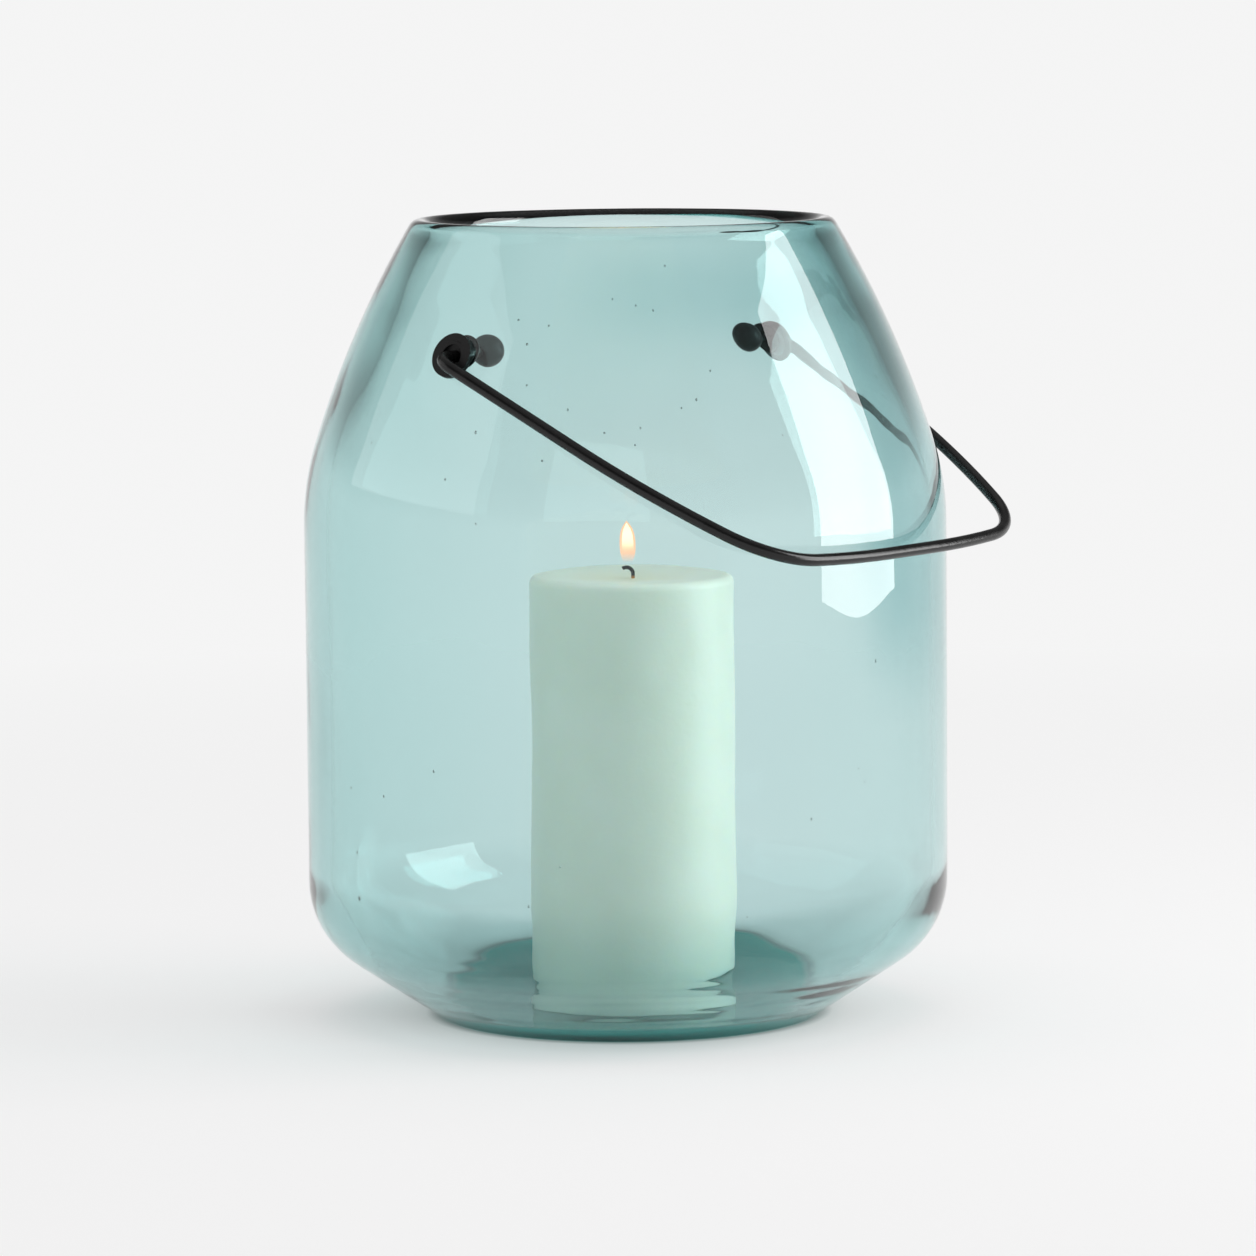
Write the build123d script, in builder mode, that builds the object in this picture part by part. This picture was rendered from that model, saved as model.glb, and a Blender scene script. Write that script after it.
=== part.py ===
from build123d import *
import os
from math import asin, cos, degrees, hypot, radians, sin, tan

# A blown glass hurricane lantern with a wire bail and a pillar candle.
# Millimetres, +Z up. The origin is the centre of the base's underside. X is the bail's hinge
# line, through the two drilled holes, and the bail rests over towards -Y on the glass.

# Glass vessel: flat base, flared foot, straight body, tapering shoulder, open mouth
HEIGHT = 292.0
BASE_R = 69.5
BODY_R = 117.5
FOOT_RISE = 32.0  # height at which the foot's slope would meet the body's side
FOOT_BEND_R = 34.0
INNER_BEND_R = 36.0  # inside that bend, where the glass gathers and the wall is thicker
HEEL_R = 3.5
SHOULDER_Z = 181.0
TURN_R = 100.0  # the shoulder's lower, tighter arc
TURN_DEG = 17.5
TAPER_R = 380.0  # its upper, nearly straight arc
WALL = 7.1
LIP_WALL = 8.6  # the wall thickens up the shoulder to a fully rounded lip
FLOOR = 7.2
INNER_HEEL_R = 14.0

# Bail: one round wire, arms coming in to a bowed bar across the front
WIRE_R = 2.2
HINGE_Z = 247.0
DROOP_DEG = 29.1  # below the horizontal, where the arms rest on the shoulder
BAIL_REACH = 144.5  # hinge line to the middle of the bar
BAR_HALF = 14.0
BOW_R = 400.0
BOW_DEG = 5.8
CORNER_R = 36.0
CORNER_DEG = 60.5
SIDE_R = 233.0
SIDE_DEG = 15.4
HINGE_BEND_R = 5.5
BALL_R = 5.75
BALL_X = 78.2
SOCKET_DEPTH = 8.0

# Rubber grommets: a neck in each drilled hole and a flange on each face of the glass
HOLE_R = 5.6
BORE_CLEARANCE = 0.08
OUTER_FLANGE_R = 8.2
OUTER_FLANGE_T = 1.7
INNER_FLANGE_R = 6.4
INNER_FLANGE_T = 1.0
FLANGE_EDGE_R = 0.7
FLANGE_SINK = 1.5  # how far each flange starts below the glass before it is trimmed to it
RECESS_R = 4.4
RECESS_DEPTH = 2.6

# Pillar candle: stands free on the floor, a little off centre
CANDLE_R = 37.6
CANDLE_H = 154.4
CANDLE_X = 0.9
CANDLE_Y = -1.2
CANDLE_EDGE_R = 3.0
CANDLE_FOOT_R = 1.0
DISH_R = 31.0
DISH_DEPTH = 1.6
WICK_R = 0.7
WICK_FOOT = 6.0  # the wick's lower end, above the candle's foot
WICK_RISE = 1.6
WICK_BEND_R = 2.4
WICK_BEND_DEG = 125.0
WICK_LEAN_DEG = 127.0  # the side that the wick's tip curls to, from +X


def arc_point(centre, radius, angle):
    """Point on an arc at an angle in radians."""
    return (centre[0] + radius * cos(angle), centre[1] + radius * sin(angle))


def shoulder_at(arc, z):
    """Radius of a shoulder arc at a height, and how far its normal tilts up, in radians."""
    angle = asin((z - arc.arc_center.Y) / arc.radius)
    return arc.arc_center.X + arc.radius * cos(angle), angle


# The shoulder's two arcs meet without a corner, so their centres lie on one line
turn_centre = (BODY_R - TURN_R, SHOULDER_Z)
taper_centre = arc_point(turn_centre, TURN_R - TAPER_R, radians(TURN_DEG))
lip_r = LIP_WALL / 2
lip_angle = asin((HEIGHT - lip_r - taper_centre[1]) / (TAPER_R - lip_r))

foot_slope = FOOT_RISE / (BODY_R - BASE_R)
foot_lift = WALL * hypot(1, foot_slope)  # the wall's thickness measured straight up
inner_body_r = BODY_R - WALL
inner_foot_z = (inner_body_r - BASE_R) * foot_slope + foot_lift
inner_base_r = BASE_R + (FLOOR - foot_lift) / foot_slope

with BuildPart() as glass_vessel:
    with BuildSketch(Plane.XZ) as wall:
        with BuildLine():
            foot = Polyline((0, 0), (BASE_R, 0), (BODY_R, FOOT_RISE), (BODY_R, SHOULDER_Z))
            turn = JernArc(foot @ 1, foot % 1, TURN_R, TURN_DEG)
            taper = JernArc(turn @ 1, turn % 1, TAPER_R, degrees(lip_angle) - TURN_DEG)
            lip_inside = arc_point(taper_centre, TAPER_R - LIP_WALL, lip_angle)
            TangentArc(taper @ 1, lip_inside, tangent=taper % 1)
            inner_foot = Polyline(
                (0, FLOOR),
                (inner_base_r, FLOOR),
                (inner_body_r, inner_foot_z),
                (inner_body_r, SHOULDER_Z),
            )
            inner_turn = JernArc(inner_foot @ 1, inner_foot % 1, TURN_R - WALL, TURN_DEG)
            inner_taper = TangentArc(inner_turn @ 1, lip_inside, tangent=inner_turn % 1)
            Line((0, FLOOR), (0, 0))
        make_face()
        rounded = (
            ((BASE_R, 0), HEEL_R),
            ((BODY_R, FOOT_RISE), FOOT_BEND_R),
            ((inner_base_r, FLOOR), INNER_HEEL_R),
            ((inner_body_r, inner_foot_z), INNER_BEND_R),
        )
        for corner, corner_r in rounded:
            fillet(wall.vertices().sort_by_distance(corner)[0], corner_r)
    revolve(axis=Axis.Z)
    with BuildSketch(Plane.YZ):
        with Locations((0, HINGE_Z)):
            Circle(HOLE_R)
    extrude(amount=BODY_R, both=True, mode=Mode.SUBTRACT)
glass_vessel.part.label = "glass_vessel"

outer_x, outer_tilt = shoulder_at(taper, HINGE_Z)
inner_x, inner_tilt = shoulder_at(inner_taper, HINGE_Z)

grommets = {}
for side_name, side in (("left", -1), ("right", 1)):
    across = Plane((0, 0, HINGE_Z), x_dir=(0, 1, 0), z_dir=(side, 0, 0))
    outer_face = Plane(
        (side * outer_x, 0, HINGE_Z),
        x_dir=(0, 1, 0),
        z_dir=(side * cos(outer_tilt), 0, sin(outer_tilt)),
    )
    inner_face = Plane(
        (side * inner_x, 0, HINGE_Z),
        x_dir=(0, 1, 0),
        z_dir=(side * cos(inner_tilt), 0, sin(inner_tilt)),
    )
    with BuildPart() as grommet:
        with BuildSketch(outer_face.offset(-FLANGE_SINK)):
            Circle(OUTER_FLANGE_R)
        extrude(amount=FLANGE_SINK + OUTER_FLANGE_T)
        with BuildSketch(inner_face.offset(FLANGE_SINK)):
            Circle(INNER_FLANGE_R)
        extrude(amount=-(FLANGE_SINK + INNER_FLANGE_T))
        rims = grommet.edges().filter_by(GeomType.CIRCLE)
        outer_rim = rims.sort_by_distance((outer_face.offset(OUTER_FLANGE_T)).origin)[0]
        inner_rim = rims.sort_by_distance((inner_face.offset(-INNER_FLANGE_T)).origin)[0]
        fillet((outer_rim, inner_rim), FLANGE_EDGE_R)
        with BuildSketch(across.offset(inner_x)):
            Circle(HOLE_R)
        extrude(amount=outer_x - inner_x)
        add(glass_vessel.part, mode=Mode.SUBTRACT)
        with BuildSketch(across.offset(inner_x - OUTER_FLANGE_R)):
            Circle(WIRE_R + BORE_CLEARANCE)
        extrude(amount=BODY_R - inner_x, mode=Mode.SUBTRACT)
        with BuildSketch(across.offset(outer_x + OUTER_FLANGE_T - RECESS_DEPTH)):
            Circle(RECESS_R)
        extrude(amount=OUTER_FLANGE_R, mode=Mode.SUBTRACT)
    grommet.part.label = "grommet_" + side_name
    grommets[side_name] = grommet

# The bail's plane: local x runs along the hinge line, local y from it towards the bar
droop = radians(DROOP_DEG)
bail_plane = Plane((0, 0, HINGE_Z), x_dir=(1, 0, 0), z_dir=(0, sin(droop), -cos(droop)))

with BuildPart() as handle_wire:
    with BuildLine(bail_plane) as route:
        bar = Line((0, BAIL_REACH), (BAR_HALF, BAIL_REACH))
        bow = JernArc(bar @ 1, bar % 1, BOW_R, -BOW_DEG)
        bend = JernArc(bow @ 1, bow % 1, CORNER_R, -CORNER_DEG)
        arm = JernArc(bend @ 1, bend % 1, SIDE_R, -SIDE_DEG)
        arm_end = bail_plane.to_local_coords(arm @ 1)
        lean = radians(90 - BOW_DEG - CORNER_DEG - SIDE_DEG)
        shank_end = (BALL_X + BALL_R - SOCKET_DEPTH, 0)
        FilletPolyline(
            (arm_end.X, arm_end.Y),
            (arm_end.X + arm_end.Y * tan(lean), 0),
            shank_end,
            radius=HINGE_BEND_R,
        )
        mirror(about=Plane.YZ)
    with BuildSketch(Plane((shank_end[0], 0, HINGE_Z), z_dir=(1, 0, 0))):
        Circle(WIRE_R)
    sweep(path=route.wires()[0])
handle_wire.part.label = "handle_wire"

ball_ends = {}
for side_name, side in (("left", -1), ("right", 1)):
    with BuildPart() as ball_end:
        with Locations((side * BALL_X, 0, HINGE_Z)):
            Sphere(BALL_R)
        add(handle_wire.part, mode=Mode.SUBTRACT)
    ball_end.part.label = "ball_end_" + side_name
    ball_ends[side_name] = ball_end

# Candle: local x of the pillar's plane runs out from its own axis
pillar_plane = Plane((CANDLE_X, CANDLE_Y, FLOOR), x_dir=(1, 0, 0), z_dir=(0, -1, 0))
wick_lean = radians(WICK_LEAN_DEG)
curl_plane = Plane(
    (CANDLE_X, CANDLE_Y, FLOOR),
    x_dir=(cos(wick_lean), sin(wick_lean), 0),
    z_dir=(sin(wick_lean), -cos(wick_lean), 0),
)

with BuildPart() as candle_wick:
    with BuildLine(curl_plane) as strand:
        stem = Line((0, WICK_FOOT), (0, CANDLE_H - DISH_DEPTH + WICK_RISE))
        JernArc(stem @ 1, stem % 1, WICK_BEND_R, -WICK_BEND_DEG)
    with BuildSketch(Plane((CANDLE_X, CANDLE_Y, FLOOR + WICK_FOOT))):
        Circle(WICK_R)
    sweep(path=strand.wires()[0])
candle_wick.part.label = "candle_wick"

with BuildPart() as candle_wax:
    with BuildSketch(pillar_plane) as pillar:
        with BuildLine():
            Polyline((0, CANDLE_H - DISH_DEPTH), (0, 0), (CANDLE_R, 0), (CANDLE_R, CANDLE_H))
            Line((CANDLE_R, CANDLE_H), (DISH_R, CANDLE_H))
            dish_mid = (DISH_R / 2, CANDLE_H - DISH_DEPTH * 0.8)
            ThreePointArc((DISH_R, CANDLE_H), dish_mid, (0, CANDLE_H - DISH_DEPTH))
        make_face()
        fillet(pillar.vertices().sort_by_distance((CANDLE_R, CANDLE_H))[0], CANDLE_EDGE_R)
        fillet(pillar.vertices().sort_by_distance((CANDLE_R, 0))[0], CANDLE_FOOT_R)
    revolve(axis=Axis((CANDLE_X, CANDLE_Y, 0), (0, 0, 1)))
    add(candle_wick.part, mode=Mode.SUBTRACT)
candle_wax.part.label = "candle_wax"

os.makedirs("parts", exist_ok=True)
export_step(glass_vessel.part, "parts/glass_vessel.step")
export_step(handle_wire.part, "parts/handle_wire.step")
export_step(candle_wax.part, "parts/candle_wax.step")
export_step(candle_wick.part, "parts/candle_wick.step")
for side_name in ("left", "right"):
    export_step(grommets[side_name].part, f"parts/grommet_{side_name}.step")
    export_step(ball_ends[side_name].part, f"parts/ball_end_{side_name}.step")
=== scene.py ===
import math
import random

import bmesh
import bpy
from mathutils import Matrix, Vector, noise


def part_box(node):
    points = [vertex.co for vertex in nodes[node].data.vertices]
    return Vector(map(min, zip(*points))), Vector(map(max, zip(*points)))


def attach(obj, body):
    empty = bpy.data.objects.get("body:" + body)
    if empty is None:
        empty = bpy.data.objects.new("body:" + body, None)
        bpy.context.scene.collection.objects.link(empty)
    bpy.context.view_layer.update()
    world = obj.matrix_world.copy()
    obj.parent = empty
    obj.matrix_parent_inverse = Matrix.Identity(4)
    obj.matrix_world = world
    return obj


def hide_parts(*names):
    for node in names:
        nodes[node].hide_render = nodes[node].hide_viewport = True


# The looks of a blown glass hurricane lantern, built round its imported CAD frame, with +Z up
# and X along the bail's hinge line. Meshes are worked out in millimetres and made in metres.

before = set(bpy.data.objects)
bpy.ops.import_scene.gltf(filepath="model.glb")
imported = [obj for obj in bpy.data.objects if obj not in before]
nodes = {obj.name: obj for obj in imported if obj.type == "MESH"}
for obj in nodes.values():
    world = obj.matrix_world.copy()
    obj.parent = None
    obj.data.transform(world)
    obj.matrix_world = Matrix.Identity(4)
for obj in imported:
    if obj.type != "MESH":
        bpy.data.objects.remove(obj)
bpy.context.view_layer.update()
MM = 0.001

# ---------------------------------------------------------------- glass: its section
# The same section as the CAD vessel's, in millimetres from the axis and from the base
BASE_R = 69.5
BODY_R = 117.5
FOOT_RISE = 32.0
FOOT_BEND_R = 34.0
INNER_BEND_R = 36.0
HEEL_R = 3.5
SHOULDER_Z = 181.0
TURN_R = 100.0
TURN_DEG = 17.5
TAPER_R = 380.0
HEIGHT = 292.0
WALL = 7.1
LIP_WALL = 8.6
FLOOR = 7.2
INNER_HEEL_R = 14.0
HINGE_Z = 247.0
HOLE_R = 5.6
ROW_STEP = 2.4  # spacing of the section's points
FINE_STEP = 0.8


def on_arc(centre, radius, angle):
    """The point of an arc at an angle in radians."""
    return (centre[0] + radius * math.cos(angle), centre[1] + radius * math.sin(angle))


def arc(centre, radius, start, end, step=ROW_STEP):
    """Points along an arc of the section, from one angle to another in degrees."""
    count = max(3, math.ceil(abs(math.radians(end - start)) * radius / step))
    return [
        on_arc(centre, radius, math.radians(start + (end - start) * i / count))
        for i in range(count + 1)
    ]


def line(start, end, step=ROW_STEP):
    """Points along a straight stretch of the section."""
    count = max(1, math.ceil(math.dist(start, end) / step))
    return [
        (start[0] + (end[0] - start[0]) * i / count, start[1] + (end[1] - start[1]) * i / count)
        for i in range(count + 1)
    ]


def joined(*stretches):
    """The stretches as one list, without the points they share."""
    points = []
    for stretch in stretches:
        for point in stretch:
            if not points or math.dist(points[-1], point) > 1e-4:
                points.append(point)
    return points


slope = math.atan2(FOOT_RISE, BODY_R - BASE_R)
slope_deg = math.degrees(slope)
foot_lift = WALL * math.hypot(1, math.tan(slope))
inner_body_r = BODY_R - WALL
inner_foot_z = (inner_body_r - BASE_R) * math.tan(slope) + foot_lift
inner_base_r = BASE_R + (FLOOR - foot_lift) / math.tan(slope)
turn_centre = (BODY_R - TURN_R, SHOULDER_Z)
turn = math.radians(TURN_DEG)
taper_centre = on_arc(turn_centre, TURN_R - TAPER_R, turn)
lip_r = LIP_WALL / 2
lip_angle = math.asin((HEIGHT - lip_r - taper_centre[1]) / (TAPER_R - lip_r))
lip_deg = math.degrees(lip_angle)
lip_centre = on_arc(taper_centre, TAPER_R - lip_r, lip_angle)
lip_inside = on_arc(taper_centre, TAPER_R - LIP_WALL, lip_angle)
# The inner taper leaves the inner turn along its tangent and ends at the lip
inner_turn_end = on_arc(turn_centre, TURN_R - WALL, turn)
reach = (lip_inside[0] - inner_turn_end[0], lip_inside[1] - inner_turn_end[1])
inner_taper_r = -(reach[0] ** 2 + reach[1] ** 2) / (
    2 * (reach[0] * math.cos(turn) + reach[1] * math.sin(turn))
)
inner_taper_centre = on_arc(inner_turn_end, -inner_taper_r, turn)
inner_lip_deg = math.degrees(
    math.atan2(lip_inside[1] - inner_taper_centre[1], lip_inside[0] - inner_taper_centre[0])
)
half_turn = math.radians((90 - slope_deg) / 2)
bend_centre = (BODY_R - FOOT_BEND_R, FOOT_RISE + FOOT_BEND_R * math.tan(half_turn))
inner_bend_centre = (
    inner_body_r - INNER_BEND_R,
    inner_foot_z + INNER_BEND_R * math.tan(half_turn),
)
heel_centre = (BASE_R - HEEL_R * math.tan(slope / 2), HEEL_R)
inner_heel_centre = (inner_base_r - INNER_HEEL_R * math.tan(slope / 2), FLOOR + INNER_HEEL_R)

heel = arc(heel_centre, HEEL_R, -90, slope_deg - 90, FINE_STEP)
foot = arc(bend_centre, FOOT_BEND_R, slope_deg - 90, 0)
outer = joined(
    line((0, 0), heel[0])[1:],
    heel,
    line(heel[-1], foot[0]),
    foot,
    line(foot[-1], (BODY_R, SHOULDER_Z)),
    arc(turn_centre, TURN_R, 0, TURN_DEG),
    arc(taper_centre, TAPER_R, TURN_DEG, lip_deg),
)
lip = arc(lip_centre, lip_r, lip_deg, lip_deg + 180, FINE_STEP)
inner_foot = arc(inner_bend_centre, INNER_BEND_R, 0, slope_deg - 90, FINE_STEP)
inner_heel = arc(inner_heel_centre, INNER_HEEL_R, slope_deg - 90, -90, FINE_STEP)
inner = joined(
    arc(inner_taper_centre, inner_taper_r, inner_lip_deg, TURN_DEG),
    arc(turn_centre, TURN_R - WALL, TURN_DEG, 0),
    line((inner_body_r, SHOULDER_Z), inner_foot[0]),
    inner_foot,
    line(inner_foot[-1], inner_heel[0], FINE_STEP),
    inner_heel,
    line(inner_heel[-1], (0, FLOOR))[:-1],
)
section = joined(outer, lip, inner)
lip_row = len(outer) + len(lip) // 2

# ---------------------------------------------------------------- glass: how uneven it is
THIN_AND_SHADED_SIDE = Vector((0.601, -0.799, 0.0))  # the way that the thinner side of the wall faces, which is also where the glass's painted shade lies
WALL_SHIFT = 1.1  # how far the inside stands off centre towards it
SHOULDER_GATHER = 0.9  # how much thicker the wall is near the lip
# Where each kind of unevenness starts and is full, or where it begins to fade and is gone:
# distances from a hole, heights, and a distance from the axis, all in millimetres
HOLE_CALM = (11.0, 26.0)
HOLE_GATHER = (13, 60)
OUTER_RISE = (6, 40)
BANDS_FADE = (30, 62)
RINGS_FADE = (28, 40)
GATHER_RISE = (205, 250)
GATHER_FADE = (258, 287)
SHIFT_RISE = (12, 60)
SHIFT_FADE = (225, 280)
FLOOR_CALM = (42, 70)


def smooth_step(low, high, value):
    t = min(max((value - low) / (high - low), 0), 1)
    return t * t * (3 - 2 * t)


def fade(low, high, value):
    return 1 - smooth_step(low, high, value)


def from_hole(point):
    return math.hypot(point.y, point.z - HINGE_Z)


def waves(point, across, along, offset=0.0):
    """Smooth noise, by its lengths in millimetres across the axis and along it."""
    return noise.noise(Vector((point.x / across, point.y / across, point.z / along + offset)))


def outer_wave(point):
    """How far the outer surface stands in from its true section."""
    depth = 0.18 + 0.16 * waves(point, 58.0, 80.0) + 0.10 * waves(point, 18.0, 34.0, 4.1)
    calm = smooth_step(*HOLE_CALM, from_hole(point))
    return -depth * calm * smooth_step(*OUTER_RISE, point.z)


def inner_wave(point):
    """How far the inner surface stands out from its true section, into the cavity."""
    out = Vector((point.x, point.y, 0))
    bands = waves(point, 30.0, 9.0) * fade(*BANDS_FADE, point.z)
    rings = waves(point, 60.0, 2.7) * fade(*RINGS_FADE, point.z)
    uneven = 0.20 * waves(point, 46.0, 70.0, 5.5) + 0.07 * waves(point, 24.0, 40.0)
    uneven += 0.12 * bands + 0.06 * rings
    uneven *= smooth_step(*FLOOR_CALM, out.length)
    shift = 0.0
    if out.length > 1:
        shift = -WALL_SHIFT * out.normalized().dot(THIN_AND_SHADED_SIDE)
    shift *= smooth_step(*SHIFT_RISE, point.z) * fade(*SHIFT_FADE, point.z)
    gather = SHOULDER_GATHER * smooth_step(*GATHER_RISE, point.z) * fade(*GATHER_FADE, point.z)
    gather *= smooth_step(*HOLE_GATHER, from_hole(point))
    return (uneven + shift) * smooth_step(*HOLE_CALM, from_hole(point)) + gather


# ---------------------------------------------------------------- meshes
GLASS_COLUMNS = 240
CANDLE_COLUMNS = 144
FLAME_COLUMNS = 28
FLAME_ROWS = 40
LIP_CALM_ROWS = 12  # rows on each side of the lip's middle over which the unevenness comes in
HALF_PATCH = 5  # half the faces across the square patch that a drilled hole takes the place of
HOLE_RINGS = 5  # rings of faces between that patch's sides and the hole


def around(j, columns):
    """The way out from the axis at one column of a revolved mesh."""
    angle = 2 * math.pi * j / columns
    return Vector((math.cos(angle), math.sin(angle), 0))


def skin(bm, loops, left_out=()):
    """Faces between closed loops of vertices, apart from some given by row and column."""
    columns = len(loops[0])
    for i in range(len(loops) - 1):
        for j in range(columns):
            if (i, j) not in left_out:
                k = (j + 1) % columns
                bm.faces.new((loops[i][j], loops[i][k], loops[i + 1][k], loops[i + 1][j]))


def fans(bm, loops, first, last):
    """Faces from the first loop to a vertex in its middle, and from the last loop to another."""
    columns = len(loops[0])
    for j in range(columns):
        k = (j + 1) % columns
        bm.faces.new((first, loops[0][k], loops[0][j]))
        bm.faces.new((last, loops[-1][j], loops[-1][k]))


def as_object(bm, name, smooth=True):
    mesh = bpy.data.meshes.new(name)
    for face in bm.faces:
        face.smooth = smooth
    bm.to_mesh(mesh)
    bm.free()
    obj = bpy.data.objects.new(name, mesh)
    bpy.context.scene.collection.objects.link(obj)
    return obj


def glass_rows(bm):
    """The revolved section's vertices, row by row, moved by the glass's unevenness."""
    rows = []
    for i, (r, z) in enumerate(section):
        a = section[max(i - 1, 0)]
        b = section[min(i + 1, len(section) - 1)]
        length = math.dist(a, b)
        row = []
        for j in range(GLASS_COLUMNS):
            out = around(j, GLASS_COLUMNS)
            point = out * r + Vector((0, 0, z))
            normal = out * ((b[1] - a[1]) / length) + Vector((0, 0, -(b[0] - a[0]) / length))
            wave = outer_wave(point) if i < lip_row else inner_wave(point)
            wave *= min(abs(i - lip_row) / LIP_CALM_ROWS, 1)
            row.append(bm.verts.new((point + normal * wave) * MM))
        rows.append(row)
    return rows


def nearest_row(z, start, end):
    return min(range(start, end), key=lambda i: abs(section[i][1] - z))


def hole_patches():
    """The faces that the drilled holes take the place of, and each patch of them as its side
    of the glass, the centre and radius of its arc of the section, and the loop round it."""
    faces = set()
    patches = []
    outer_middle = nearest_row(HINGE_Z, 0, lip_row)
    inner_middle = nearest_row(HINGE_Z, lip_row, len(section))
    for side, column in ((1, 0), (-1, GLASS_COLUMNS // 2)):
        columns = range(column - HALF_PATCH, column + HALF_PATCH + 1)
        for middle, surface, downwards in (
            (outer_middle, (taper_centre, TAPER_R), False),
            (inner_middle, (inner_taper_centre, inner_taper_r), True),
        ):
            rows = range(middle - HALF_PATCH, middle + HALF_PATCH + 1)
            faces |= {(i, j % GLASS_COLUMNS) for i in rows[:-1] for j in columns[:-1]}
            if downwards:
                # the inner rows run down the wall; turned round, both loops go the same way
                rows = rows[::-1]
            loop = [(rows[0], j) for j in columns]
            loop += [(i, columns[-1]) for i in rows[1:]]
            loop += [(rows[-1], j) for j in reversed(columns[:-1])]
            loop += [(i, columns[0]) for i in reversed(rows[1:-1])]
            patches.append((side, surface, [(i, j % GLASS_COLUMNS) for i, j in loop]))
    return faces, patches


def ringed_hole(bm, side, surface, patch_loop):
    """Faces from the loop round a patch in to the edge of its hole, which is returned."""
    centre, radius = surface
    loops = [patch_loop]
    for ring in range(HOLE_RINGS - 1, -1, -1):
        t = ring / HOLE_RINGS
        loop = []
        for v in patch_loop:
            y, z = v.co.y / MM, v.co.z / MM
            hole_y, hole_z = on_arc((0, HINGE_Z), HOLE_R, math.atan2(z - HINGE_Z, y))
            y, z = hole_y + (y - hole_y) * t, hole_z + (z - hole_z) * t
            r = centre[0] + math.sqrt(radius ** 2 - (z - centre[1]) ** 2)
            loop.append(bm.verts.new(Vector((side * math.sqrt(r * r - y * y), y, z)) * MM))
        loops.append(loop)
    skin(bm, loops)
    return loops[-1]


def glass_mesh():
    """The vessel's revolved wall with its two drilled holes."""
    bm = bmesh.new()
    rows = glass_rows(bm)
    base = bm.verts.new((0, 0, 0))
    floor = bm.verts.new((0, 0, FLOOR * MM))
    left_out, patches = hole_patches()
    skin(bm, rows, left_out)
    fans(bm, rows, base, floor)
    edges = [
        ringed_hole(bm, side, surface, [rows[i][j] for i, j in loop])
        for side, surface, loop in patches
    ]
    for hole in (edges[:2], edges[2:]):
        skin(bm, hole)
        for loop in hole:
            for k in range(len(loop)):
                bm.edges.get((loop[k - 1], loop[k])).smooth = False
    bmesh.ops.delete(bm, geom=[v for v in bm.verts if not v.link_faces], context="VERTS")
    bmesh.ops.recalc_face_normals(bm, faces=bm.faces)
    return bm


# Bubbles: the angle about the axis from +X in degrees, the height and the radius
SEEDS = [
    (227.3, 277.8, 0.34), (214.5, 266.8, 0.30), (219.8, 264.3, 0.30), (193.2, 259.4, 0.40),
    (196.2, 251.3, 0.44), (197.4, 237.4, 0.34), (234.8, 241.6, 0.34), (206.0, 229.0, 0.34),
    (228.1, 229.3, 0.30), (213.2, 221.2, 0.38), (220.0, 222.8, 0.30), (218.9, 217.1, 0.30),
    (273.6, 226.4, 0.36), (271.5, 230.0, 0.28), (182.8, 204.4, 0.36), (158.7, 91.7, 0.36),
    (160.1, 68.6, 0.40), (160.9, 52.2, 0.62), (205.0, 70.0, 0.30),
]
MORE_SEEDS = 26  # scattered anywhere in the wall
SEED_FREE = HOLE_R + 5  # the distance from a hole's middle that is kept free of them


def add_seeds(bm):
    """Trapped air: small closed hollows inside the wall, their faces turned to the air."""
    rng = random.Random(17)
    more = [
        (rng.uniform(0, 360), rng.uniform(24, 268), rng.uniform(0.22, 0.42))
        for _ in range(MORE_SEEDS)
    ]
    for degrees, z, radius in SEEDS + more:
        a = math.radians(degrees)
        wall = [r for r, height in outer if abs(height - z) < ROW_STEP]
        r = sum(wall) / len(wall) - WALL * rng.uniform(0.35, 0.65)
        place = Vector((r * math.cos(a), r * math.sin(a), z))
        if from_hole(place) < SEED_FREE:
            continue
        stretch = Matrix.Diagonal((1, 1, rng.uniform(1.0, 1.7), 1))
        made = bmesh.ops.create_icosphere(
            bm,
            subdivisions=2,
            radius=radius * MM,
            matrix=Matrix.Translation(place * MM) @ stretch,
        )
        faces = list({f for v in made["verts"] for f in v.link_faces})
        bmesh.ops.reverse_faces(bm, faces=faces)


wax_low, wax_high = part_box("candle_wax")
wick_low, wick_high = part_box("candle_wick")
candle_foot = Vector(((wax_low.x + wax_high.x) / 2, (wax_low.y + wax_high.y) / 2, wax_low.z)) / MM
candle_r = (wax_high.x - wax_low.x) / 2 / MM
candle_h = (wax_high.z - wax_low.z) / MM
DISH_R = 31.0
DISH_DEPTH = 1.6
DISH_ROWS = 22
EDGE_R = 3.0
FOOT_EDGE_R = 1.0
FOOT_GAP = 0.15  # the air left under the wax, so that it isn't stuck to the glass
WAVE_RISE = (1, 12)  # heights where the sides' waviness starts and is full
SAG_RISE = (candle_h - 6, candle_h - 1)  # the same for the sag of the top


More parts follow.
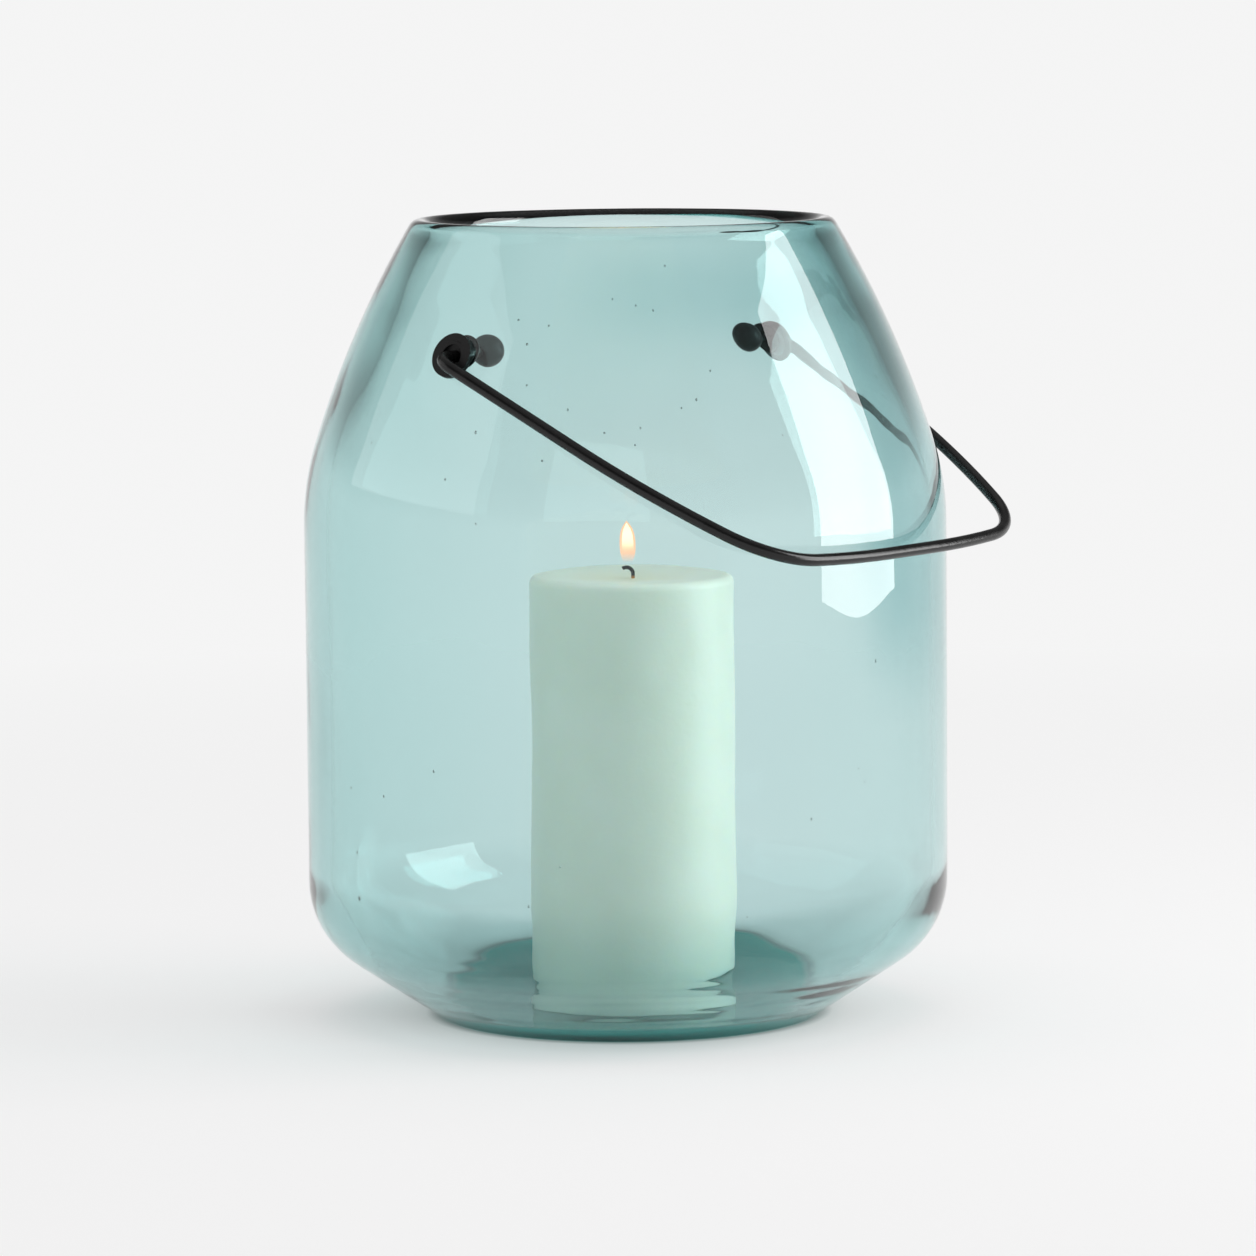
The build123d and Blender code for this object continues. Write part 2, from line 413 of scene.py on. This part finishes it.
def candle_mesh():
    """A poured pillar: a worn upper edge, a shallow burnt dish and slightly wavy sides."""
    dish = []
    for i in range(1, DISH_ROWS):
        r = DISH_R * (1 - i / DISH_ROWS)
        dish.append((r, candle_h - DISH_DEPTH * (1 - (r / DISH_R) ** 2)))
    rows = joined(
        line((1.5, FOOT_GAP), (34.5, FOOT_GAP), 1.5),
        arc((candle_r - FOOT_EDGE_R, FOOT_EDGE_R + FOOT_GAP), FOOT_EDGE_R, -90, 0, 0.3),
        line((candle_r, FOOT_EDGE_R + FOOT_GAP), (candle_r, candle_h - EDGE_R), 2.0),
        arc((candle_r - EDGE_R, candle_h - EDGE_R), EDGE_R, 0, 90, 0.5),
        line((candle_r - EDGE_R, candle_h), (DISH_R, candle_h), 1.0),
        dish,
    )
    bm = bmesh.new()
    loops = []
    for r, z in rows:
        loop = []
        for j in range(CANDLE_COLUMNS):
            out = around(j, CANDLE_COLUMNS)
            point = out * r + Vector((0, 0, z))
            wave = 0.14 * noise.noise(point / 17.0) + 0.10 * noise.noise(point / 6.0)
            sag = 0.28 * noise.noise(Vector((out.x * 1.6, out.y * 1.6, r / 30.0)))
            sag *= smooth_step(*SAG_RISE, z)
            # never out of the CAD's own shape, so that the candle stays clear of the glass
            point += out * min(wave - 0.1, 0) * smooth_step(*WAVE_RISE, z)
            point += Vector((0, 0, min(sag - 0.1, 0)))
            loop.append(bm.verts.new((point + candle_foot) * MM))
        loops.append(loop)
    foot_middle = bm.verts.new((candle_foot + Vector((0, 0, FOOT_GAP))) * MM)
    dish_middle = bm.verts.new((candle_foot + Vector((0, 0, candle_h - DISH_DEPTH))) * MM)
    skin(bm, loops)
    fans(bm, loops, foot_middle, dish_middle)
    bmesh.ops.recalc_face_normals(bm, faces=bm.faces)
    return bm


# The flame's distances down from its tip, with its half-width at each
FLAME_SIDES = [
    (0.0, 0.0), (0.7, 0.5), (1.5, 1.05), (2.9, 1.9), (4.4, 2.4), (5.9, 2.7), (7.3, 2.85),
    (8.8, 2.92), (10.3, 2.9), (11.7, 2.75), (13.2, 2.4), (14.6, 1.8), (15.8, 1.0), (16.8, 0.0),
]
FLAME_H = FLAME_SIDES[-1][0]
FLAME_LEAN = Vector((-0.35, 0.25, 0.0))  # where the tip stands from over the foot
FLAME_LEAST_R = 0.01  # keeps the ends' faces from closing to a point
FLAME_SINK = 0.4  # how far the flame's foot lies below the wick's top
flame_foot = Vector(
    ((wick_low.x + wick_high.x) / 2, (wick_low.y + wick_high.y) / 2, wick_high.z)
) / MM - Vector((0, 0, FLAME_SINK))


def flame_mesh(width, low, high):
    """A small still flame from a share of its height to another, its tip leaning a little."""
    bm = bmesh.new()
    loops = []
    for i in range(FLAME_ROWS + 1):
        t = i / FLAME_ROWS
        down = FLAME_H * (1 - t)
        side = 0.0
        for (above, r_above), (below, r_below) in zip(FLAME_SIDES, FLAME_SIDES[1:]):
            if above <= down <= below:
                side = r_above + (r_below - r_above) * (down - above) / (below - above)
        middle = FLAME_LEAN * t * t + Vector((0, 0, FLAME_H * (low + (high - low) * t)))
        r = max(side * width, FLAME_LEAST_R)
        loops.append([
            bm.verts.new((flame_foot + middle + around(j, FLAME_COLUMNS) * r) * MM)
            for j in range(FLAME_COLUMNS)
        ])
    skin(bm, loops)
    bm.faces.new(reversed(loops[0]))
    bm.faces.new(loops[-1])
    bmesh.ops.recalc_face_normals(bm, faces=bm.faces)
    return bm


# ---------------------------------------------------------------- materials: shared nodes
# All but add_node return the output of what they make, ready to be fed to the next node
def new_material(name):
    """A material with its tree, its Principled shader and its output node."""
    mat = bpy.data.materials.new(name)
    mat.use_nodes = True
    nt = mat.node_tree
    return mat, nt, nt.nodes["Principled BSDF"], nt.nodes["Material Output"]


def feed(nt, node, inputs):
    """Sets each input named to a value, or links it to an output."""
    for key, value in inputs.items():
        if isinstance(value, bpy.types.NodeSocket):
            nt.links.new(value, node.inputs[key])
        else:
            node.inputs[key].default_value = value


def add_node(nt, kind, inputs=None, **settings):
    node = nt.nodes.new(kind)
    for key, value in settings.items():
        setattr(node, key, value)
    feed(nt, node, inputs or {})
    return node


def own_place(nt):
    """Where a point lies in the object's own metres."""
    return add_node(nt, "ShaderNodeTexCoord").outputs["Object"]


def height_of(nt, place):
    return add_node(nt, "ShaderNodeSeparateXYZ", {"Vector": place}).outputs["Z"]


def out_from_axis(nt):
    """The level part of where a point lies."""
    inputs = {0: own_place(nt), 1: (1, 1, 0)}
    return add_node(nt, "ShaderNodeVectorMath", inputs, operation="MULTIPLY").outputs["Vector"]


def length_of(nt, vector):
    node = add_node(nt, "ShaderNodeVectorMath", {0: vector}, operation="LENGTH")
    return node.outputs["Value"]


def maths(nt, operation, a, b):
    return add_node(nt, "ShaderNodeMath", {0: a, 1: b}, operation=operation).outputs["Value"]


def map_range(nt, source, low, high, to_low, to_high):
    inputs = {
        "Value": source, "From Min": low, "From Max": high, "To Min": to_low, "To Max": to_high,
    }
    return add_node(nt, "ShaderNodeMapRange", inputs).outputs["Result"]


def noise_over(nt, scale, detail=3.0, roughness=0.5, stretch=(1, 1, 1)):
    place = add_node(nt, "ShaderNodeMapping", {"Vector": own_place(nt), "Scale": stretch})
    inputs = {
        "Vector": place.outputs["Vector"],
        "Scale": scale,
        "Detail": detail,
        "Roughness": roughness,
    }
    return add_node(nt, "ShaderNodeTexNoise", inputs).outputs["Fac"]


def ramp(nt, source, stops):
    """A colour ramp from a factor; stops are (position, colour)."""
    node = add_node(nt, "ShaderNodeValToRGB", {"Fac": source})
    elements = node.color_ramp.elements
    while len(elements) < len(stops):
        elements.new(0.5)
    for element, (position, colour) in zip(elements, stops, strict=True):
        element.position = position
        element.color = (*colour, 1)
    return node.outputs["Color"]


def grey(value):
    return (value, value, value)


def grey_ramp(nt, source, stops):
    return ramp(nt, source, [(position, grey(value)) for position, value in stops])


def bump_from(nt, height, distance):
    inputs = {"Height": height, "Distance": distance, "Strength": 1.0}
    return add_node(nt, "ShaderNodeBump", inputs).outputs["Normal"]


def mixed(nt, share, first, second):
    inputs = {"Fac": share, 1: first, 2: second}
    return add_node(nt, "ShaderNodeMixShader", inputs).outputs["Shader"]


def dress(obj, mat):
    """The material on every slot of an object."""
    if not obj.material_slots:
        obj.data.materials.append(mat)
    for slot in obj.material_slots:
        slot.material = mat


# ---------------------------------------------------------------- materials: the lantern's
GLASS_IOR = 1.5
GLASS_TAKES = (40.0, 17.5, 18.0)  # light lost per metre of glass: red, green, blue
GLASS_DENSITY = 48.0
# Where the tint is deeper, by how far a point faces the thin side (its cosine) and its height:
# painted shade in a stripe down that side, and part way round below the lip and at the foot a
# deeper tint that is partly the glass's own and partly painted shade
DEEP_TINT_AND_SHADE = (0.76, 0.86, 0.87)
SHADE_STREAK_FACING = (0.72, 0.84)
SHADE_STREAK_RISE = (0.112, 0.152)
COLLAR_SHARE = 0.42
COLLAR_FACING = (-0.35, 0.10)
COLLAR_RISE = (0.240, 0.262)
COLLAR_FADE = (0.266, 0.287)
FOOT_TINT_AND_SHADE_SHARE = 0.30
FOOT_TINT_AND_SHADE_FADE = (0.018, 0.046)
# What is left of scattered light, and of lamps' light, past one face of the glass
CLEAR_PATHS = (
    ("Is Diffuse Ray", (0.94, 0.94, 0.94)),
    ("Is Shadow Ray", (0.96, 0.95, 0.95)),
)


def glass_tint_and_painted_shade(nt):
    """How much deeper the tint is: painted shade in a stripe down one side, and part way round
    below the lip and at the foot a deeper tint that is partly the glass's own and partly painted
    shade.
    """
    z = height_of(nt, own_place(nt))
    heading = add_node(nt, "ShaderNodeVectorMath", {0: out_from_axis(nt)}, operation="NORMALIZE")
    inputs = {0: heading.outputs["Vector"], 1: THIN_AND_SHADED_SIDE}
    dot = add_node(nt, "ShaderNodeVectorMath", inputs, operation="DOT_PRODUCT")
    facing = dot.outputs["Value"]
    # painted shade: a stripe of deeper tint down one side, from part way up
    side = map_range(nt, facing, *SHADE_STREAK_FACING, 0.0, 1.0)
    shade_streak = maths(nt, "MULTIPLY", side, map_range(nt, z, *SHADE_STREAK_RISE, 0.0, 1.0))
    # below the lip, part way round: deeper tint, partly the glass's own and partly painted shade
    half = map_range(nt, facing, *COLLAR_FACING, 0.0, 1.0)
    risen = maths(nt, "MULTIPLY", half, map_range(nt, z, *COLLAR_RISE, 0.0, COLLAR_SHARE))
    collar = maths(nt, "MULTIPLY", risen, map_range(nt, z, *COLLAR_FADE, 1.0, 0.0))
    # at the foot: deeper tint, partly the glass's own and partly painted shade
    foot_tint_and_shade = map_range(nt, z, *FOOT_TINT_AND_SHADE_FADE, FOOT_TINT_AND_SHADE_SHARE, 0.0)
    return maths(nt, "MAXIMUM", maths(nt, "MAXIMUM", shade_streak, collar), foot_tint_and_shade)


def glass_material():
    mat, nt, shader, out = new_material("teal_glass")
    smears = noise_over(nt, 26.0, detail=4.0, stretch=(1, 1, 0.35))
    cords = noise_over(nt, 34.0, detail=2.0, stretch=(1, 1, 0.22))
    feed(nt, shader, {
        # white glass, with a deeper tint that is partly painted shade
        "Base Color": ramp(nt, glass_tint_and_painted_shade(nt), [(0.0, grey(1)), (1.0, DEEP_TINT_AND_SHADE)]),
        "Transmission Weight": 1.0,
        "IOR": GLASS_IOR,
        "Roughness": map_range(nt, smears, 0.45, 0.75, 0.0, 0.035),
        "Normal": bump_from(nt, cords, 0.00012),
    })
    left = [1 - taken / GLASS_DENSITY for taken in GLASS_TAKES]
    inputs = {"Color": (*left, 1), "Density": GLASS_DENSITY}
    volume = add_node(nt, "ShaderNodeVolumeAbsorption", inputs)
    surface = shader.outputs["BSDF"]
    # lamps and scattered light reach what stands behind and inside the glass
    for path, colour in CLEAR_PATHS:
        is_path = add_node(nt, "ShaderNodeLightPath").outputs[path]
        clear = add_node(nt, "ShaderNodeBsdfTransparent", {"Color": (*colour, 1)})
        surface = mixed(nt, is_path, surface, clear.outputs["BSDF"])
    feed(nt, out, {"Surface": surface, "Volume": volume.outputs["Volume"]})
    return mat


def wax_material(top):
    """Ivory wax with a slight green cast painted in for the glass-tinted light on it, thinner and
    yellower in the burnt dish round the wick, under the height top.
    """
    mat, nt, shader, _ = new_material("ivory_wax")
    clouds = noise_over(nt, 38.0, detail=4.0, roughness=0.55)
    # ivory in random clouds, with a painted green cast standing in for the glass-tinted light on
    # the candle
    tone = ramp(
        nt,
        clouds,
        [(0.30, (0.87, 0.89, 0.77)), (0.55, (0.90, 0.925, 0.81)), (0.80, (0.93, 0.95, 0.85))],
    )
    pool = map_range(nt, length_of(nt, out_from_axis(nt)), 0.006, 0.024, 1.0, 0.0)
    z = height_of(nt, own_place(nt))
    upper = map_range(nt, z, top - 0.004, top - 0.001, 0.0, 0.55)
    melt = add_node(nt, "ShaderNodeMix", data_type="RGBA")
    # a Mix node's share, first colour and second colour have no names of their own
    feed(nt, melt, {
        0: maths(nt, "MULTIPLY", pool, upper), 6: tone, 7: (0.80, 0.74, 0.52, 1),
    })
    feed(nt, shader, {
        "Base Color": melt.outputs[2],
        "Subsurface Weight": 0.35,
        "Subsurface Radius": (1.0, 0.75, 0.5),
        "Subsurface Scale": 0.008,
        "IOR": 1.44,
        "Roughness": map_range(nt, clouds, 0.3, 0.7, 0.28, 0.42),
        "Normal": bump_from(nt, noise_over(nt, 420.0), 0.00010),
    })
    return mat


def black_material(name, patch_scale, tones, specular, roughness, grain):
    """Black paint or rubber: uneven in tone and in roughness, with a fine bump over it."""
    mat, nt, shader, _ = new_material(name)
    patches = noise_over(nt, patch_scale)
    scale, detail, depth = grain
    feed(nt, shader, {
        "Base Color": grey_ramp(nt, patches, [(0.3, tones[0]), (0.8, tones[1])]),
        "Specular IOR Level": specular,
        "Roughness": map_range(nt, patches, 0.3, 0.8, *roughness),
        "Normal": bump_from(nt, noise_over(nt, scale, detail=detail), depth),
    })
    return mat


def wick_material(foot_z, tip_z):
    """A braid soaked in wax at its foot and charred above it."""
    mat, nt, shader, _ = new_material("charred_wick")
    place = own_place(nt)
    height = map_range(nt, height_of(nt, place), foot_z, tip_z, 0.0, 1.0)
    braid = add_node(
        nt,
        "ShaderNodeTexWave",
        {"Vector": place, "Scale": 420.0, "Distortion": 2.0, "Detail": 2.0},
        bands_direction="DIAGONAL",
    )
    feed(nt, shader, {
        "Base Color": ramp(nt, height, [
            (0.0, (0.62, 0.30, 0.07)), (0.14, (0.40, 0.16, 0.04)), (0.26, (0.004, 0.0035, 0.003)),
        ]),
        "Roughness": 0.85,
        "Specular IOR Level": 0.1,
        "Normal": bump_from(nt, braid.outputs["Fac"], 0.0002),
    })
    return mat


def flame_material(name, tones, shares, strength):
    """Glowing gas: its colour and how much of it there is, from the flame's foot to its tip."""
    mat, nt, shader, out = new_material(name)
    nt.nodes.remove(shader)
    z = height_of(nt, own_place(nt))
    height = map_range(nt, z, flame_foot.z * MM, (flame_foot.z + FLAME_H) * MM, 0.0, 1.0)
    inputs = {"Color": ramp(nt, height, tones), "Strength": strength}
    glow = add_node(nt, "ShaderNodeEmission", inputs).outputs["Emission"]
    clear = add_node(nt, "ShaderNodeBsdfTransparent").outputs["BSDF"]
    feed(nt, out, {"Surface": mixed(nt, grey_ramp(nt, height, shares), clear, glow)})
    return mat


# ---------------------------------------------------------------- the pieces
glass = glass_mesh()
add_seeds(glass)
vessel = as_object(glass, "blown_glass")
dress(vessel, glass_material())
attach(vessel, "vessel")
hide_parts("glass_vessel")

candle = as_object(candle_mesh(), "pillar_candle")
dress(candle, wax_material(wax_high.z))
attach(candle, "candle")
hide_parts("candle_wax")

dish_z = (candle_foot.z + candle_h - DISH_DEPTH) * MM
dress(nodes["candle_wick"], wick_material(dish_z, wick_high.z))

ORANGE = (1.0, 0.40, 0.16)
AMBER = (1.0, 0.62, 0.34)
CREAM = (1.0, 0.86, 0.60)
haze = flame_material(
    "flame_haze",
    [(0.0, ORANGE), (1.0, ORANGE)],
    [(0.0, 0.0), (0.10, 0.0), (0.3, 0.36), (0.9, 0.46), (1.0, 0.3)],
    1.9,
)
core = flame_material(
    "flame_core",
    [(0.0, ORANGE), (0.34, AMBER), (0.5, CREAM), (1.0, CREAM)],
    [(0.0, 0.0), (0.32, 0.0), (0.52, 0.45), (0.72, 0.85), (1.0, 0.7)],
    2.6,
)
for name, mat, width, low, high in (
    ("flame", haze, 1.0, 0.0, 1.0),
    ("flame_core", core, 0.70, 0.06, 0.95),
):
    flame = as_object(flame_mesh(width, low, high), name)
    dress(flame, mat)
    flame.visible_shadow = False
    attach(flame, "candle")

paint = black_material(
    "satin_black_paint", 160.0, (0.003, 0.008), 0.38, (0.15, 0.26), (900.0, 2.0, 0.00006)
)
grommet_rubber = black_material(
    "grommet_black_rubber", 240.0, (0.0042, 0.009), 0.18, (0.34, 0.50), (1100.0, 3.0, 0.00008)
)
ball_rubber = black_material(
    "ball_end_rubber", 240.0, (0.0084, 0.018), 0.18, (0.32, 0.46), (400.0, 3.0, 0.00001)
)
for name, mat in (
    ("handle_wire", paint),
    ("grommet_left", grommet_rubber),
    ("grommet_right", grommet_rubber),
    ("ball_end_left", ball_rubber),
    ("ball_end_right", ball_rubber),
):
    dress(nodes[name], mat)
    nodes[name].data.shade_smooth()

# ---------------------------------------------------------------- stage, lights and camera
CAMERA_AWAY = Vector((0.799, 0.601, 0.0))  # level, from the camera to the lantern
CAMERA_RIGHT = Vector((0.601, -0.799, 0.0))  # level, towards the right of the picture
CAMERA_LENS = 185.3
CAMERA_SENSOR = 36.0
CAMERA_DISTANCE = 2.354
CAMERA_SHIFT = 0.0007
CAMERA_HEIGHT = 0.3982
CAMERA_PITCH_DEG = 6.22
CAMERA_ROLL_DEG = -0.5
WHITE = 0.91
FLOOR_R = 14.0
FLOOR_LIFT = 0.00005  # keeps the floor's surface and the base's from lying in one plane
FLOOR_FAR = 1.2  # the distance from the axis where the floor's ramps end
OVERHEAD_SIZE = 1.3
OVERHEAD_RADIANCE = 2.2
OVERHEAD_PLACE = CAMERA_AWAY * 0.25 + Vector((0, 0, 1.7))


def stage_floor():
    """One wide disc: lit near the lantern, with painted shadow under and round its base, fading
    to even white far off.
    """
    bm = bmesh.new()
    bmesh.ops.create_circle(bm, cap_ends=True, radius=FLOOR_R, segments=96)
    floor = as_object(bm, "studio_floor", smooth=False)
    mat, nt, shader, out = new_material("pale_floor_painted_shadow")
    far = map_range(nt, length_of(nt, own_place(nt)), 0.0, FLOOR_FAR, 0.0, 1.0)
    # painted shadow: under the glass the floor is dark teal, as the little light that gets in
    # there comes through it, with a dark grey ring at the base's edge; round that a warm ring,
    # darker nearest the base, cancels the teal cast of the glass's shadow
    tone = ramp(nt, far, [
        (0.046, (0.0, 0.34, 0.32)),
        (0.0565, (0.01, 0.40, 0.37)),
        (0.0580, (0.25, 0.24, 0.24)),
        (0.0605, (0.76, 0.67, 0.675)),
        (0.0800, (0.90, 0.83, 0.84)),
        (0.1200, (0.87, 0.86, 0.865)),
    ])
    feed(nt, shader, {"Base Color": tone, "Roughness": 0.9, "Specular IOR Level": 0.1})
    inputs = {"Color": (*grey(WHITE), 1), "Strength": 1.0}
    even = add_node(nt, "ShaderNodeEmission", inputs).outputs["Emission"]
    # the share of even white glow: none under the base, so that its painted shadow shows, and
    # more further off
    share = grey_ramp(
        nt, far, [(0.0570, 0.0), (0.0630, 0.27), (0.12, 0.59), (0.25, 0.72), (1.0, 1.0)]
    )
    feed(nt, out, {"Surface": mixed(nt, share, shader.outputs["BSDF"], even)})
    dress(floor, mat)
    floor.location.z = FLOOR_LIFT


def studio_world():
    """White near the horizon, as a sweep is, and a dim room above."""
    world = bpy.data.worlds.new("studio")
    bpy.context.scene.world = world
    world.use_nodes = True
    nt = world.node_tree
    way = add_node(nt, "ShaderNodeTexCoord").outputs["Generated"]
    tone = grey_ramp(nt, height_of(nt, way), [
        (0.0, WHITE), (0.05, WHITE), (0.18, 0.46), (0.40, 0.10), (0.66, 0.12), (0.80, 0.38),
        (1.0, 0.42),
    ])
    feed(nt, nt.nodes["Background"], {"Color": tone, "Strength": 1.0})


def area_light(name, width, height, radiance):
    """An even rectangular light that the camera doesn't see."""
    data = bpy.data.lights.new(name, "AREA")
    data.shape = "RECTANGLE"
    data.size = width
    data.size_y = height
    data.energy = radiance * math.pi * width * height
    light = bpy.data.objects.new(name, data)
    bpy.context.scene.collection.objects.link(light)
    light.visible_camera = False
    return light


def softbox(name, azimuth, distance, low, width, height, radiance):
    """An upright light facing the axis, with its lower edge at the height low. Azimuth is from
    the camera's side of the lantern, in degrees towards the camera's right."""
    a = math.radians(azimuth)
    side = -CAMERA_AWAY * math.cos(a) + CAMERA_RIGHT * math.sin(a)
    light = area_light(name, width, height, radiance)
    light.location = side * distance + Vector((0, 0, low + height / 2))
    light.rotation_mode = "QUATERNION"
    light.rotation_quaternion = (-side).to_track_quat("-Z", "Y")
    return light


def studio_lights():
    # the key light twice: as it lights and reflects, and, cut shorter, as it shows inside glass
    key = softbox("key_softbox", 88.0, 1.20, 0.040, 0.80, 1.17, 6.0)
    key.visible_transmission = False
    key_in_glass = softbox("key_in_glass", 88.0, 1.22, 0.11, 0.81, 1.11, 6.0)
    key_in_glass.visible_diffuse = False
    key_in_glass.visible_glossy = False
    softbox("fill_softbox", -84.0, 1.70, 0.42, 2.0, 1.43, 0.85)
    front = softbox("front_fill", -12.0, 2.2, 0.45, 1.5, 1.4, 1.5)
    front.visible_glossy = False
    overhead = area_light("overhead", OVERHEAD_SIZE, OVERHEAD_SIZE, OVERHEAD_RADIANCE)
    overhead.location = OVERHEAD_PLACE
    overhead.visible_glossy = False
    overhead.visible_transmission = False


def studio_camera():
    """The photograph's viewpoint, a little to the right of the axis and rolled a little."""
    data = bpy.data.cameras.new("camera")
    data.sensor_width = CAMERA_SENSOR
    data.lens = CAMERA_LENS
    data.clip_end = 60.0
    camera = bpy.data.objects.new("camera", data)
    bpy.context.scene.collection.objects.link(camera)
    camera.location = (
        -CAMERA_AWAY * CAMERA_DISTANCE
        + CAMERA_RIGHT * CAMERA_SHIFT
        + Vector((0, 0, CAMERA_HEIGHT))
    )
    pitch = math.radians(CAMERA_PITCH_DEG)
    look = CAMERA_AWAY * math.cos(pitch) - Vector((0, 0, math.sin(pitch)))
    roll = Matrix.Rotation(math.radians(CAMERA_ROLL_DEG), 3, "Z").to_quaternion()
    camera.rotation_mode = "QUATERNION"
    camera.rotation_quaternion = look.to_track_quat("-Z", "Y") @ roll
    bpy.context.scene.camera = camera


stage_floor()
studio_world()
studio_lights()
studio_camera()
scene = bpy.context.scene
scene.view_settings.view_transform = "Standard"
scene.cycles.max_bounces = 16
scene.cycles.transmission_bounces = 14
scene.cycles.transparent_max_bounces = 16
scene.cycles.caustics_reflective = False
scene.cycles.caustics_refractive = False
